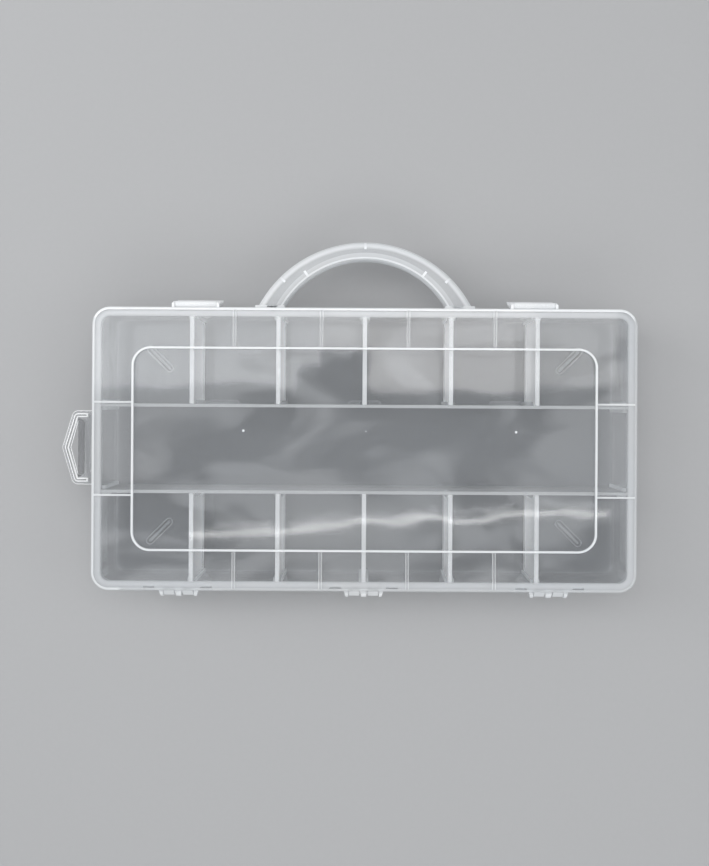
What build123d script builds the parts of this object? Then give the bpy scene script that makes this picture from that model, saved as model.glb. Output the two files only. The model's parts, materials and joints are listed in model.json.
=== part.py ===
from build123d import *
from math import cos, radians, sin, sqrt, tan
import os

# Compartment storage box with a hinged lid, two snap latches, a carrying handle, a hang tab,
# two long partitions and ten cross dividers. All sizes are in millimetres.
# +Z is up, the latches and the handle face -Y, and the hang tab points to +X.
# The pieces are drawn about the middle of the lid, in the plane that the feet stand on.
# They are written about the middle of the whole object's bounding box, in the same plane.

# Allowance for picking a face or an edge by its place
same_place = 0.05

# Lid
lid_length = 356.0
lid_width = 185.0
lid_corner = 11.5
lid_plate = 1.8
lid_edge_chamfer = 0.7
skirt_thickness = 1.6
lid_gap = 0.2

# Raised frame and short ribs on the lid
frame_end_inset = 27.0
frame_side_inset = 26.6
frame_corner = 11.7
ridge_width = 1.3
ridge_height = 2.0
short_rib_width = 2.2
short_rib_height = 1.0
side_rib_y = 30.3
side_rib_width = 1.3
gate_mark_radius = 0.9
gate_mark_depth = 0.4
gate_mark_y = -12.0
gate_marks_x = (79.0, -99.0)

# Tray
rim_gap = 1.0
tray_height = 46.0
wall = 2.0
floor_thickness = 2.0
draft = 0.5
bottom_round = 3.0
floor_chamfer = 1.0
flange_drop = 5.7
flange_thickness = 1.6
flange_setback = 0.4
fuse = 0.8

# Feet under the tray
foot_height = 1.0
corner_foot_length = 23.0
corner_foot_width = 4.2
corner_foot_end_inset = 34.5
corner_foot_side_inset = 32.0
row_foot_length = 22.0
row_foot_width = 3.2
row_foot_pitch = 99.0
row_foot_y = 29.9

# Partitions and dividers
partition_y = 28.3
partition_thickness = 2.0
divider_pitch = 56.6
dividers_per_row = 5
divider_thickness = 2.8
divider_web = 1.4
divider_border = 2.4
slot_gap = 0.15
seat_gap = 0.1
insert_top_drop = 0.6
insert_corner = 2.0
guide_width = 1.6
guide_depth = 2.4
end_guide_width = 2.2
guide_drop = 6.0
guide_lead = 1.6

# Lid hinges
hinge_end_inset = 56.5
hinge_offset = 1.6
bar_radius = 1.5
pivot_clearance = 0.05
hook_wall = 1.05
hook_width = 6.8
hook_mouth = 2.3
lug_radius = 3.4
middle_lug = 4.6
outer_lug = 3.0
lug_taper = 1.5
knuckle_gap = 0.5
swing_gap = 0.4
hinge_relief = 47.0
window_length = 7.5
window_width = 1.0
window_x = 18.6

# Latches
latch_end_inset = 67.0
latch_offset = 2.3
latch_drop = 4.0
latch_barrel = 2.0
latch_pin = 1.1
latch_pin_length = 3.0
latch_width = 31.0
latch_height = 22.0
latch_plate = 1.5
latch_lip = 2.4
latch_lip_height = 5.0
ear_thickness = 1.8
ear_gap = 0.3
ear_chamfer = 1.6
catch_reach = 1.7
catch_width = 32.0
catch_bite = 1.0
catch_gap = 0.3
catch_hook = 3.9
catch_hook_nose = 0.8

# Handle
handle_outer_radius = 80.9
handle_centre_inset = 35.3
handle_grip_width = 12.8
handle_centre_step = 5.7
handle_height = 11.0
handle_wall = 2.2
handle_round = 4.2
handle_round_steps = 3
handle_inner_chamfer = 0.8
handle_rib = 1.5
handle_rib_reach = 4.6
handle_outer_ribs = (-45.0, 0.0, 45.0)
handle_inner_ribs = (-36.4, 36.4)
foot_plate = 1.2
foot_plate_flare = 1.6
plug_length = 14.0
plug_height = 7.0
plug_depth = 2.9
plug_gap = 0.15
socket_wall = 2.0

# Hang tab
tab_half_length = 24.5
tab_shoulder_reach = 14.8
tab_tip_reach = 22.2
tab_thickness = 1.2
tab_corner = 4.6
tab_hole_root_reach = 7.5
tab_hole_shoulder_reach = 11.3
tab_hole_tip_reach = 16.2
tab_hole_half_length = 17.9
tab_hole_corner = 1.2
bead_inset = 2.2
bead_width = 1.8
bead_height = 0.8
bead_root_reach = 5.4
tab_gap = 0.3
shelf_thickness = 1.4

# Places that follow from the sizes above
half_lid_length = lid_length / 2
half_lid_width = lid_width / 2
frame_length = lid_length - 2 * frame_end_inset
frame_width = lid_width - 2 * frame_side_inset
tray_length = lid_length - 2 * (skirt_thickness + rim_gap)
tray_width = lid_width - 2 * (skirt_thickness + rim_gap)
tray_corner = lid_corner - skirt_thickness - rim_gap
half_tray_width = tray_width / 2
inner_length = tray_length - 2 * wall
inner_width = tray_width - 2 * wall
inner_corner = tray_corner - wall
floor_top = foot_height + floor_thickness
floor_inset = (tray_height - floor_top) * tan(radians(draft))
flange_top = tray_height - flange_drop
flange_bottom = flange_top - flange_thickness
half_flange_length = half_lid_length - flange_setback
half_flange_width = half_lid_width - flange_setback
plate_bottom = tray_height + lid_gap
lid_top = plate_bottom + lid_plate
corner_foot_x = half_lid_length - corner_foot_end_inset
corner_foot_y = half_lid_width - corner_foot_side_inset
skirt_bottom = flange_top + lid_gap
hinge_y = half_lid_width + hinge_offset
hinge_z = skirt_bottom
hinge_places = (hinge_end_inset - half_lid_length, 0.0, half_lid_length - hinge_end_inset)
hook_bore = bar_radius + pivot_clearance
hook_radius = hook_bore + hook_wall
hook_start = middle_lug / 2 + knuckle_gap
hook_end = hook_start + hook_width
outer_lug_start = hook_end + knuckle_gap
outer_lug_end = outer_lug_start + outer_lug
latch_x = half_lid_length - latch_end_inset
latch_y = -half_lid_width - latch_offset
latch_z = lid_top - latch_drop
barrel_length = latch_width - 2 * (ear_thickness + ear_gap)
latch_bottom = lid_top - latch_height
catch_edge = half_flange_width + catch_reach
insert_top = tray_height - insert_top_drop
insert_bottom = floor_top + seat_gap
guide_top = tray_height - guide_drop
half_partition = inner_length / 2 - floor_inset - slot_gap
partition_face = partition_y + partition_thickness / 2
divider_start = partition_face + slot_gap
divider_end = inner_width / 2 - floor_inset - slot_gap
divider_places = [divider_pitch * (i - (dividers_per_row - 1) / 2) for i in range(dividers_per_row)]
handle_top = flange_bottom - tab_gap
handle_bottom = handle_top - handle_height
handle_root = -half_flange_width - tab_gap
handle_outer_y = handle_centre_inset - half_lid_width
handle_inner_y = handle_outer_y - handle_centre_step
handle_inner_radius = handle_outer_radius - handle_grip_width - handle_centre_step
foot_outer_x = sqrt(handle_outer_radius**2 - (handle_root - handle_outer_y) ** 2)
foot_inner_x = sqrt(handle_inner_radius**2 - (handle_root - handle_inner_y) ** 2)
foot_x = (foot_outer_x + foot_inner_x) / 2
foot_width = foot_outer_x - foot_inner_x
plug_z = (handle_top + handle_bottom) / 2
tab_top = flange_bottom - tab_gap
tab_bottom = tab_top - tab_thickness
tab_shoulder_x = half_lid_length + tab_shoulder_reach
tab_tip_x = half_lid_length + tab_tip_reach
tab_hole_root_x = half_lid_length + tab_hole_root_reach
tab_hole_shoulder_x = half_lid_length + tab_hole_shoulder_reach
tab_hole_tip_x = half_lid_length + tab_hole_tip_reach
bead_root_x = half_lid_length + bead_root_reach
shelf_top = tab_bottom - tab_gap


def side_plane(x=0.0):
    """Plane square to X, with sketch axes along +Y and +Z."""
    return Plane(origin=(x, 0, 0), x_dir=(0, 1, 0), z_dir=(1, 0, 0))


def downward(height):
    """Plane at a height whose extrusions go down, for walls that draw in towards the floor."""
    return Plane(origin=(0, 0, height), x_dir=(1, 0, 0), z_dir=(0, 0, -1))


def block(x, y, z, mode=Mode.ADD):
    """Box between two limits on each axis."""
    middle = ((x[0] + x[1]) / 2, (y[0] + y[1]) / 2, (z[0] + z[1]) / 2)
    with Locations(middle):
        Box(abs(x[1] - x[0]), abs(y[1] - y[0]), abs(z[1] - z[0]), mode=mode)


def mirrored(span, side):
    """Span of a feature on the chosen side of the middle."""
    return (side * span[0], side * span[1])


def make_hinge_lugs():
    """Three tapered lugs and the bar that joins them, for one hinge at the middle of the rear."""
    root = half_tray_width - fuse
    tip = hinge_y + lug_radius
    middle = middle_lug / 2
    with BuildPart() as lugs:
        with BuildSketch(Plane.XY.offset(hinge_z - lug_radius)):
            Polygon(
                (-middle, root), (middle, root), (middle, half_lid_width),
                (middle - lug_taper / 2, tip), (lug_taper / 2 - middle, tip), (-middle, half_lid_width),
                align=None,
            )
            for side in (-1, 1):
                Polygon(
                    (side * outer_lug_start, root), (side * outer_lug_end, root),
                    (side * outer_lug_end, half_lid_width), (side * (outer_lug_end - lug_taper), tip),
                    (side * outer_lug_start, tip),
                    align=None,
                )
        extrude(amount=2 * lug_radius)
        with BuildSketch(side_plane()):
            with Locations((hinge_y, hinge_z)):
                Circle(lug_radius)
            with Locations(((root + hinge_y) / 2, hinge_z)):
                Rectangle(hinge_y - root, 2 * lug_radius)
        extrude(amount=outer_lug_end, both=True, mode=Mode.INTERSECT)
        with BuildSketch(side_plane()):
            with Locations((hinge_y, hinge_z)):
                Circle(bar_radius)
        extrude(amount=outer_lug_start + outer_lug / 2, both=True)
    return lugs.part


def make_tray():
    """Open tray with flange, feet, guide ribs, hinge lugs, latch catches, handle sockets and tab pocket."""
    lugs = make_hinge_lugs()
    guides = make_guides()
    with BuildPart() as tray:
        with BuildSketch(downward(tray_height)):
            RectangleRounded(tray_length, tray_width, tray_corner)
        extrude(amount=tray_height - foot_height, taper=draft)
        fillet(tray.faces().sort_by(Axis.Z)[0].edges(), bottom_round)

        with BuildSketch(Plane.XY.offset(flange_bottom)):
            RectangleRounded(2 * half_flange_length, 2 * half_flange_width, lid_corner - flange_setback)
            relief_root = half_tray_width - fuse
            with Locations([(x, relief_root) for x in hinge_places]):
                Rectangle(hinge_relief, lid_width, align=(Align.CENTER, Align.MIN), mode=Mode.SUBTRACT)
            with Locations([(side * latch_x, -catch_edge) for side in (-1, 1)]):
                Rectangle(catch_width, catch_edge - half_tray_width + fuse, align=(Align.CENTER, Align.MIN))
        extrude(amount=flange_thickness)

        for side in (-1, 1):
            socket = (foot_x - plug_length / 2 - socket_wall, foot_x + plug_length / 2 + socket_wall)
            block(
                mirrored(socket, side),
                (-half_flange_width, -half_tray_width + fuse),
                (plug_z - plug_height / 2 - socket_wall, flange_bottom),
            )
        block(
            (tray_length / 2 - fuse, half_flange_length),
            (-tab_half_length - tab_gap - socket_wall, tab_half_length + tab_gap + socket_wall),
            (shelf_top - shelf_thickness, flange_bottom),
        )
        block(
            (tray_length / 2, lid_length),
            (-tab_half_length - tab_gap, tab_half_length + tab_gap),
            (shelf_top, flange_bottom),
            mode=Mode.SUBTRACT,
        )

        with BuildSketch(downward(tray_height)):
            RectangleRounded(inner_length, inner_width, inner_corner)
        extrude(amount=tray_height - floor_top, taper=draft, mode=Mode.SUBTRACT)
        floor_face = tray.faces().filter_by(lambda face: abs(face.center().Z - floor_top) < same_place)
        chamfer(floor_face.sort_by(SortBy.AREA)[-1].edges(), floor_chamfer)

        for side in (-1, 1):
            plug = (foot_x - plug_length / 2 - plug_gap, foot_x + plug_length / 2 + plug_gap)
            block(
                mirrored(plug, side),
                (-lid_width, handle_root + plug_depth + tab_gap),
                (plug_z - plug_height / 2 - plug_gap, plug_z + plug_height / 2 + plug_gap),
                mode=Mode.SUBTRACT,
            )

        add(guides)

        with BuildSketch(Plane.XY):
            for x in (-corner_foot_x, corner_foot_x):
                for y in (-corner_foot_y, corner_foot_y):
                    with Locations(Location((x, y, 0), (0, 0, 45 if x * y > 0 else -45))):
                        SlotOverall(corner_foot_length, corner_foot_width)
            for x in (-row_foot_pitch, 0, row_foot_pitch):
                for y in (-row_foot_y, row_foot_y):
                    with Locations((x, y)):
                        Rectangle(row_foot_length, row_foot_width)
        extrude(amount=foot_height + fuse)

        with Locations([(x, 0, 0) for x in hinge_places]):
            add(lugs)
    return tray.part


def make_guides():
    """Pairs of upright ribs on the inner walls that hold the dividers and the partition ends."""
    inner_x = inner_length / 2
    inner_y = inner_width / 2
    divider_rib = (divider_thickness + guide_width) / 2 + slot_gap
    end_rib = (partition_thickness + end_guide_width) / 2 + slot_gap
    divider_ribs = [place + edge * divider_rib for place in divider_places for edge in (-1, 1)]
    end_ribs = [row * partition_y + edge * end_rib for row in (-1, 1) for edge in (-1, 1)]
    with BuildPart() as guides:
        for side in (-1, 1):
            for x in divider_ribs:
                with BuildSketch(side_plane(x)):
                    guide_profile(side, inner_y)
                extrude(amount=guide_width / 2, both=True)
            for y in end_ribs:
                with BuildSketch(Plane.XZ.offset(-y)):
                    guide_profile(side, inner_x)
                extrude(amount=end_guide_width / 2, both=True)
    return guides.part


def guide_profile(side, face):
    """Upright rib against a wall face, with a lead-in at its upper inner corner."""
    tip = face - guide_depth
    Polygon(
        (side * (face + fuse), floor_top - fuse), (side * (face + fuse), guide_top),
        (side * (tip + guide_lead), guide_top), (side * tip, guide_top - guide_lead),
        (side * tip, floor_top - fuse),
        align=None,
    )


def make_hinge_hook():
    """One open hook that snaps over the hinge bar, for a hinge at the middle of the rear."""
    skirt_face = half_lid_width - skirt_thickness / 2
    reach = hook_radius * cos(radians(45))
    with BuildPart() as hook:
        with BuildSketch(side_plane(hook_start)):
            with Locations((hinge_y, hinge_z)):
                Circle(hook_radius)
            Polygon(
                (skirt_face, hinge_z), (skirt_face, plate_bottom), (half_lid_width, plate_bottom),
                (hinge_y + reach, hinge_z + reach), (hinge_y, hinge_z),
                align=None,
            )
            with Locations((hinge_y, hinge_z)):
                Circle(hook_bore, mode=Mode.SUBTRACT)
                Rectangle(hook_mouth, 2 * hook_radius, align=(Align.CENTER, Align.MAX), mode=Mode.SUBTRACT)
        extrude(amount=hook_width)
    return hook.part


def make_latch_ears():
    """Two chamfered ears with short pins that carry one latch, centred on the middle of the front."""
    ear_start = barrel_length / 2 + ear_gap
    ear_end = ear_start + ear_thickness
    root = half_lid_width - skirt_thickness / 2
    tip = -latch_y + latch_barrel
    with BuildPart() as ears:
        with BuildSketch(Plane.XY.offset(latch_z - latch_barrel)):
            for side in (-1, 1):
                Polygon(
                    (side * ear_start, -root), (side * ear_start, -tip),
                    (side * (ear_end - ear_chamfer), -tip), (side * ear_end, -tip + ear_chamfer),
                    (side * ear_end, -root),
                    align=None,
                )
        extrude(amount=2 * latch_barrel)
        with BuildSketch(side_plane()):
            with Locations((latch_y, latch_z)):
                Circle(latch_barrel)
            with Locations((latch_y, latch_z)):
                Rectangle(root - half_lid_width + latch_offset + latch_barrel, 2 * latch_barrel,
                          align=(Align.MIN, Align.CENTER))
        extrude(amount=ear_end, both=True, mode=Mode.INTERSECT)
        for side in (-1, 1):
            with BuildSketch(side_plane(side * (ear_start + ear_thickness / 2))):
                with Locations((latch_y, latch_z)):
                    Circle(latch_pin)
            extrude(amount=-side * (latch_pin_length + ear_thickness / 2))
    return ears.part


def make_lid():
    """Lid with a downturned skirt, a raised frame tied to the edge by ribs, hinge hooks and latch ears."""
    hook = make_hinge_hook()
    other_hook = mirror(hook, about=Plane.YZ)
    ears = make_latch_ears()
    with BuildPart() as lid:
        with BuildSketch(Plane.XY.offset(skirt_bottom)):
            RectangleRounded(lid_length, lid_width, lid_corner)
        extrude(amount=lid_top - skirt_bottom)
        chamfer(lid.faces().sort_by(Axis.Z)[-1].edges(), lid_edge_chamfer)
        with BuildSketch(Plane.XY.offset(skirt_bottom)):
            RectangleRounded(
                lid_length - 2 * skirt_thickness, lid_width - 2 * skirt_thickness, lid_corner - skirt_thickness
            )
        extrude(amount=plate_bottom - skirt_bottom, mode=Mode.SUBTRACT)

        with BuildSketch(Plane.XY.offset(lid_top - fuse)):
            RectangleRounded(frame_length + ridge_width, frame_width + ridge_width, frame_corner + ridge_width / 2)
            RectangleRounded(
                frame_length - ridge_width, frame_width - ridge_width, frame_corner - ridge_width / 2,
                mode=Mode.SUBTRACT,
            )
        extrude(amount=fuse + ridge_height)
        with BuildSketch(Plane.XY.offset(lid_top - fuse)):
            front_length = half_lid_width - skirt_thickness - frame_width / 2
            side_length = half_lid_length - skirt_thickness - frame_length / 2
            for side in (-1, 1):
                for place in (-1.5, -0.5, 0.5, 1.5):
                    with Locations((place * divider_pitch, side * (frame_width + front_length) / 2)):
                        Rectangle(short_rib_width, front_length)
                for row in (-1, 1):
                    with Locations((side * (frame_length + side_length) / 2, row * side_rib_y)):
                        Rectangle(side_length, side_rib_width)
        extrude(amount=fuse + short_rib_height)
        with BuildSketch(Plane.XY.offset(lid_top)):
            with Locations([(x, gate_mark_y) for x in gate_marks_x]):
                Circle(gate_mark_radius)
        extrude(amount=-gate_mark_depth, mode=Mode.SUBTRACT)

        window_y = half_lid_width - skirt_thickness - window_width / 2
        for place in hinge_places:
            for side in (-1, 1):
                cut = (hook_end, outer_lug_end + knuckle_gap)
                block(
                    (place + side * cut[0], place + side * cut[1]),
                    (half_lid_width - 2 * skirt_thickness, lid_width),
                    (0, hinge_z + lug_radius + swing_gap),
                    mode=Mode.SUBTRACT,
                )
                with BuildSketch(Plane.XY.offset(lid_top)):
                    with Locations((place + side * window_x, window_y)):
                        Rectangle(window_length, window_width)
                extrude(amount=-2 * lid_plate, mode=Mode.SUBTRACT)
            block(
                (place - hook_start, place + hook_start),
                (half_lid_width - 2 * skirt_thickness, lid_width),
                (0, hinge_z + lug_radius + swing_gap),
                mode=Mode.SUBTRACT,
            )
        with Locations([(x, 0, 0) for x in hinge_places]):
            add(hook)
            add(other_hook)
        with Locations([(side * latch_x, 0, 0) for side in (-1, 1)]):
            add(ears)
    return lid.part


def make_latch():
    """Snap latch with a barrel on the ear pins, a hook under the catch and a flared finger lip."""
    outer = latch_y - latch_barrel
    inner = outer + latch_plate
    hook_top = flange_bottom - catch_gap
    hook_tip = -catch_edge + catch_bite
    lip_top = latch_bottom + latch_lip_height
    with BuildPart() as latch:
        with BuildSketch(side_plane()):
            with BuildLine():
                Polyline(
                    (outer, latch_z), (outer, lip_top), (outer - latch_lip, latch_bottom),
                    (outer - latch_lip + latch_plate, latch_bottom), (inner, lip_top),
                    (inner, hook_top - catch_hook), (hook_tip, hook_top - catch_hook_nose),
                    (hook_tip, hook_top), (inner, hook_top), (inner, latch_z), (outer, latch_z),
                )
            make_face()
        extrude(amount=latch_width / 2, both=True)
        shoulder = latch_z - latch_barrel - ear_gap
        for side in (-1, 1):
            block(
                mirrored((barrel_length / 2, latch_width), side),
                (outer - latch_barrel, 0),
                (shoulder, lid_top),
                mode=Mode.SUBTRACT,
            )
        with BuildSketch(side_plane()):
            with Locations((latch_y, latch_z)):
                Circle(latch_barrel)
        extrude(amount=barrel_length / 2, both=True)
        with BuildSketch(side_plane()):
            with Locations((latch_y, latch_z)):
                Circle(latch_pin + pivot_clearance)
        extrude(amount=latch_width, both=True, mode=Mode.SUBTRACT)
    return latch.part


def handle_region():
    """Face between the outer and inner arcs of the handle, closed along the front of the box."""
    with BuildSketch() as region:
        with BuildLine():
            ThreePointArc(
                (-foot_outer_x, handle_root), (0, handle_outer_y - handle_outer_radius), (foot_outer_x, handle_root)
            )
            Line((foot_outer_x, handle_root), (foot_inner_x, handle_root))
            ThreePointArc(
                (foot_inner_x, handle_root), (0, handle_inner_y - handle_inner_radius), (-foot_inner_x, handle_root)
            )
            Line((-foot_inner_x, handle_root), (-foot_outer_x, handle_root))
        make_face()
    return region.sketch


def crown_corner():
    """What the rounded outer edge of the handle's top leaves of a square corner, in narrow bevels."""
    angles = [radians(90 * step / handle_round_steps) for step in range(handle_round_steps + 1)]
    centre = (handle_outer_radius - handle_round, handle_top - handle_round)
    bevels = [(centre[0] + handle_round * cos(a), centre[1] + handle_round * sin(a)) for a in angles]
    beyond = handle_outer_radius + handle_wall
    above = handle_top + handle_wall
    Polygon((beyond, centre[1]), *bevels, (centre[0], above), (beyond, above), align=None)


def make_handle():
    """Arched channel handle with a rounded top, gusset ribs inside, and a plugged foot at each end."""
    region = handle_region()
    with BuildPart() as handle:
        with BuildSketch(Plane.XY.offset(handle_bottom)):
            add(region)
        extrude(amount=handle_height)
        with BuildSketch(Plane.XZ.offset(-handle_outer_y)):
            crown_corner()
        revolve(axis=Axis((0, handle_outer_y, 0), (0, 0, 1)), mode=Mode.SUBTRACT)
        crown = handle.faces().sort_by(Axis.Z)[-1].edges().filter_by(GeomType.CIRCLE).sort_by(SortBy.RADIUS)
        chamfer(crown[0], handle_inner_chamfer)
        with BuildSketch(Plane.XY.offset(handle_bottom)):
            add(region)
            offset(amount=-handle_wall, kind=Kind.INTERSECTION, mode=Mode.REPLACE)
        hollow_depth = handle_height - handle_wall
        extrude(amount=hollow_depth, mode=Mode.SUBTRACT)

        rib_z = handle_bottom + (hollow_depth + fuse) / 2
        for angle in handle_outer_ribs:
            radius = handle_outer_radius - handle_wall - (handle_rib_reach - fuse) / 2
            place = (radius * sin(radians(angle)), handle_outer_y - radius * cos(radians(angle)), rib_z)
            with Locations(Location(place, (0, 0, angle))):
                Box(handle_rib, handle_rib_reach + fuse, hollow_depth + fuse)
        for angle in handle_inner_ribs:
            start = handle_inner_radius + handle_wall - fuse
            radius = start + (handle_rib_reach + fuse) / 2
            place = (radius * sin(radians(angle)), handle_inner_y - radius * cos(radians(angle)), rib_z)
            with Locations(Location(place, (0, 0, angle))):
                Box(handle_rib, handle_rib_reach + fuse, hollow_depth + fuse)

        for side in (-1, 1):
            plate = (foot_inner_x - foot_plate_flare, foot_outer_x + foot_plate_flare)
            block(mirrored(plate, side), (handle_root - foot_plate, handle_root), (handle_bottom, handle_top))
            plug = (foot_x - plug_length / 2, foot_x + plug_length / 2)
            block(
                mirrored(plug, side),
                (handle_root - foot_plate, handle_root + plug_depth),
                (plug_z - plug_height / 2, plug_z + plug_height / 2),
            )
    return handle.part


def tab_region(inset):
    """Five-sided outline of the hang tab, drawn in by an inset."""
    root = tray_length / 2 + tab_gap
    with BuildSketch() as region:
        Polygon(
            (root, -tab_half_length), (tab_shoulder_x, -tab_half_length), (tab_tip_x, 0),
            (tab_shoulder_x, tab_half_length), (root, tab_half_length),
            align=None,
        )
        fillet(region.vertices().filter_by_position(Axis.X, tab_shoulder_x - fuse, lid_length), tab_corner)
        if inset > 0:
            offset(amount=-inset, kind=Kind.INTERSECTION, mode=Mode.REPLACE)
    return region.sketch


def make_hang_tab():
    """Thin tab with a peaked hole and a raised bead that runs parallel to its edge."""
    outline = tab_region(0)
    bead_outside = tab_region(bead_inset)
    bead_inside = tab_region(bead_inset + bead_width)
    with BuildPart() as tab:
        with BuildSketch(Plane.XY.offset(tab_bottom)):
            add(outline)
        extrude(amount=tab_thickness)
        with BuildSketch(Plane.XY.offset(tab_bottom - bead_height)):
            add(bead_outside)
            add(bead_inside, mode=Mode.SUBTRACT)
            Rectangle(bead_root_x, lid_width, align=(Align.MIN, Align.CENTER), mode=Mode.SUBTRACT)
        extrude(amount=tab_thickness + 2 * bead_height)
        with BuildSketch(Plane.XY.offset(tab_bottom)) as hole:
            Polygon(
                (tab_hole_root_x, -tab_hole_half_length), (tab_hole_shoulder_x, -tab_hole_half_length),
                (tab_hole_tip_x, 0), (tab_hole_shoulder_x, tab_hole_half_length),
                (tab_hole_root_x, tab_hole_half_length),
                align=None,
            )
            fillet(hole.vertices(), tab_hole_corner)
        extrude(amount=tab_thickness, mode=Mode.SUBTRACT)
    return tab.part


def make_partition(row):
    """Long partition with pairs of guide ribs on its outer face, for the front (-1) or rear (1) row."""
    height = (insert_bottom + insert_top) / 2
    face = row * partition_face
    rib_offset = (divider_thickness + guide_width) / 2 + slot_gap
    with BuildPart() as partition:
        with BuildSketch(Plane.XZ.offset(-row * partition_y)) as sheet:
            with Locations((0, height)):
                Rectangle(2 * half_partition, insert_top - insert_bottom)
            chamfer(sheet.vertices().group_by(Axis.Y)[0], insert_corner)
        extrude(amount=partition_thickness / 2, both=True)
        with BuildSketch(Plane.XY.offset(insert_bottom)):
            for place in divider_places:
                for edge in (-1, 1):
                    with Locations((place + edge * rib_offset, face + row * (guide_depth - fuse) / 2)):
                        Rectangle(guide_width, guide_depth + fuse)
        extrude(amount=guide_top - insert_bottom)
        lead = [edge for edge in partition.edges().filter_by(Axis.X)
                if abs(edge.center().Z - guide_top) < same_place
                and abs(abs(edge.center().Y) - partition_face - guide_depth) < same_place]
        chamfer(lead, guide_lead)
    return partition.part


def make_divider(row, place):
    """Cross divider with a thick border round a thinner web, for one place in the front or rear row."""
    length = divider_end - divider_start
    middle = row * (divider_end + divider_start) / 2
    height = insert_top - insert_bottom
    centre = (middle, (insert_top + insert_bottom) / 2)
    recess = (divider_thickness - divider_web) / 2
    with BuildPart() as divider:
        with BuildSketch(side_plane(place)) as sheet:
            with Locations(centre):
                Rectangle(length, height)
            chamfer(sheet.vertices().group_by(Axis.Y)[0], insert_corner)
        extrude(amount=divider_thickness / 2, both=True)
        for side in (-1, 1):
            with BuildSketch(side_plane(place + side * divider_thickness / 2)) as web:
                with Locations(centre):
                    Rectangle(length - 2 * divider_border, height - 2 * divider_border)
                chamfer(web.vertices(), insert_corner)
            extrude(amount=-side * recess, mode=Mode.SUBTRACT)
    return divider.part


def write(part, name, middle):
    """Labels one piece and writes its STEP file, placed about the middle of the whole object."""
    placed = part.moved(Location((-middle.X, -middle.Y, 0)))
    placed.label = name
    export_step(placed, f"parts/{name}.step")


pieces = {"tray": make_tray(), "lid": make_lid(), "handle": make_handle(), "hang_tab": make_hang_tab()}
for latch_side, latch_name in ((-1, "latch_left"), (1, "latch_right")):
    pieces[latch_name] = make_latch().moved(Location((latch_side * latch_x, 0, 0)))
for row_side, row_name in ((-1, "front"), (1, "rear")):
    pieces[f"partition_{row_name}"] = make_partition(row_side)
    for number, divider_x in enumerate(divider_places, start=1):
        pieces[f"divider_{row_name}_{number}"] = make_divider(row_side, divider_x)

whole = Compound(list(pieces.values())).bounding_box()
os.makedirs("parts", exist_ok=True)
for piece_name, piece in pieces.items():
    write(piece, piece_name, whole.center())
print(f"Middle of the object from the middle of the lid: {whole.center().X:.3f}, {whole.center().Y:.3f} mm")
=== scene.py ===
import json
from math import acos, cos, pi, radians, sin
import bmesh
import bpy
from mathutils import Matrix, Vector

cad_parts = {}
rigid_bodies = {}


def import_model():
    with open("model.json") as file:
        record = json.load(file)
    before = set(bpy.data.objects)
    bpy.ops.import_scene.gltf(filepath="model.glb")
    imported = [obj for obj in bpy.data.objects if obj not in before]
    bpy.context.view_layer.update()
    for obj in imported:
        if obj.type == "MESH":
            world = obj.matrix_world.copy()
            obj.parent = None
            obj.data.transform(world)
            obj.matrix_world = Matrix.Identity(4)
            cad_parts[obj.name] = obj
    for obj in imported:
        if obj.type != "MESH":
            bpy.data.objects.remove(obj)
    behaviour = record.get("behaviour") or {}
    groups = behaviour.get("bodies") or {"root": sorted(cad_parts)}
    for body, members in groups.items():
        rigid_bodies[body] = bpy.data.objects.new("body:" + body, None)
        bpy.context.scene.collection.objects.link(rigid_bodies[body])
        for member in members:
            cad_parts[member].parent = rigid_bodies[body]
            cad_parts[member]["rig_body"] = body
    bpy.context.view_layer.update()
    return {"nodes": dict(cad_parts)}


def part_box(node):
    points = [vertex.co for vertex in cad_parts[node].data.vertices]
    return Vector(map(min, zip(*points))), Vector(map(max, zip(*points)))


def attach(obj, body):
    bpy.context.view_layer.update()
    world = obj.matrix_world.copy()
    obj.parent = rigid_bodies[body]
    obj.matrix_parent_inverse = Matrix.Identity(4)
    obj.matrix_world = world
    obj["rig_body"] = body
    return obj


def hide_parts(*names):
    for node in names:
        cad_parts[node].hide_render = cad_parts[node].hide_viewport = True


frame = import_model()
nodes = frame["nodes"]
base = nodes["tray"]["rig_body"]
lidLow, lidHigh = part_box("lid")
trayLow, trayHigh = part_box("tray")
dividerLow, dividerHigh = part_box("divider_front_3")
rearLow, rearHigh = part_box("divider_rear_3")
handleLow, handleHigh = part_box("handle")
middleX = (lidLow[0] + lidHigh[0]) / 2
middleY = (dividerLow[1] + rearHigh[1]) / 2  # the rows of dividers stand evenly about the middle
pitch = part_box("divider_front_2")[0][0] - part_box("divider_front_1")[0][0]
print("stage: frame loaded")


class Flow:  # an output socket, so that sums on it add Math nodes
    def __init__(self, graph, socket):
        self.graph = graph
        self.socket = socket

    def reckon(self, operation, *values):
        return self.graph.node("ShaderNodeMath", {"operation": operation}, dict(enumerate(values)))

    def __add__(self, other):
        return self.reckon("ADD", self, other)

    def __radd__(self, other):
        return self.reckon("ADD", other, self)

    def __sub__(self, other):
        return self.reckon("SUBTRACT", self, other)

    def __rsub__(self, other):
        return self.reckon("SUBTRACT", other, self)

    def __mul__(self, other):
        return self.reckon("MULTIPLY", self, other)

    def __rmul__(self, other):
        return self.reckon("MULTIPLY", other, self)

    def __truediv__(self, other):
        return self.reckon("DIVIDE", self, other)

    def __pow__(self, other):
        return self.reckon("POWER", self, other)

    def __abs__(self):
        return self.reckon("ABSOLUTE", self)

    def sine(self):
        return self.reckon("SINE", self)

    def cosine(self):
        return self.reckon("COSINE", self)

    def fraction(self):
        return self.reckon("FRACT", self)

    def most(self, other):
        return self.reckon("MAXIMUM", self, other)

    def least(self, other):
        return self.reckon("MINIMUM", self, other)


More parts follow.
